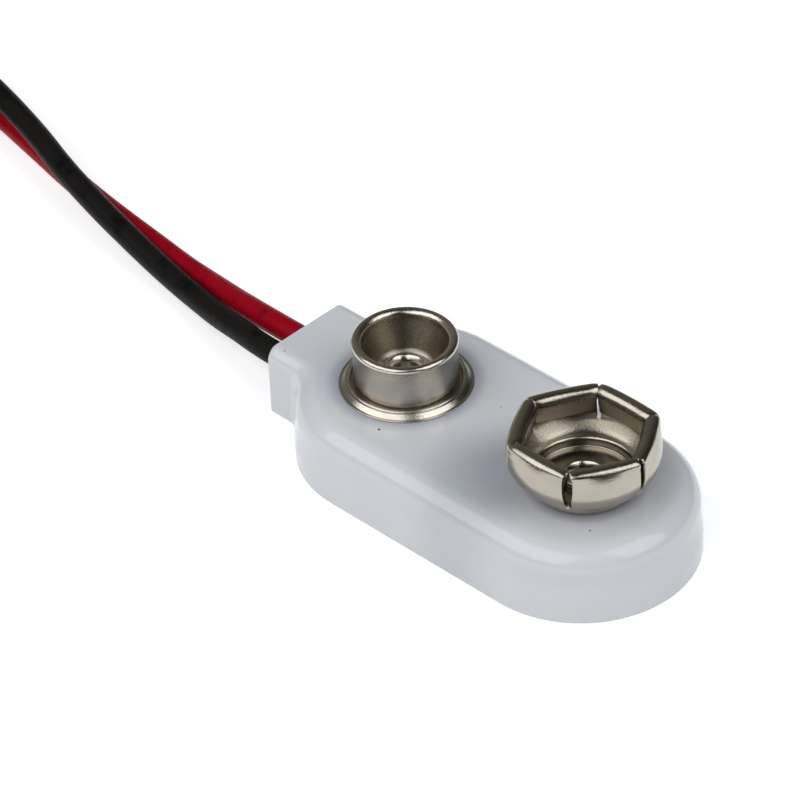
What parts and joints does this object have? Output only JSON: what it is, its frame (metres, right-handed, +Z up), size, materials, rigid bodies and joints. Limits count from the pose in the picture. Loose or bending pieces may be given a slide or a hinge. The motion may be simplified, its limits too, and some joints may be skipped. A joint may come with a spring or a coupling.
{
  "type": "battery snap",
  "caption": "Flat moulded clip that snaps onto the terminals of a block battery, with a round drawn stud, a hexagonal petal socket, and a red and a black lead out of a short neck.",
  "frame": {"origin": "on the plane of the flat back, under the middle of the body and its neck, leads left out", "axes": "+X along the body from the neck to the socket, +Z up out of the face that carries the contacts"},
  "size_m": [0.0763, 0.0196, 0.0079],
  "materials": {
    "white_moulding": "satin",
    "fibre_board": "matte",
    "nickel_plate": "bright",
    "eyelet_plate": "bright",
    "tag_brass": "satin",
    "solder": "satin",
    "black_insulation": "satin",
    "red_insulation": "satin",
    "tinned_strand": "satin"
  },
  "bodies": {
    "root": {"body_moulding": "white_moulding", "carrier_board": "fibre_board", "snap_stud": "nickel_plate", "snap_socket": "nickel_plate", "stud_eyelet": "eyelet_plate", "socket_eyelet": "eyelet_plate", "stud_tag": "tag_brass", "socket_tag": "tag_brass", "stud_solder": "solder", "socket_solder": "solder", "black_lead_root": "black_insulation", "red_lead_root": "red_insulation", "black_lead": "black_insulation", "red_lead": "red_insulation", "black_coil": "black_insulation", "red_coil": "red_insulation", "black_tip": "tinned_strand", "red_tip": "tinned_strand"}
  },
  "joints": []
}
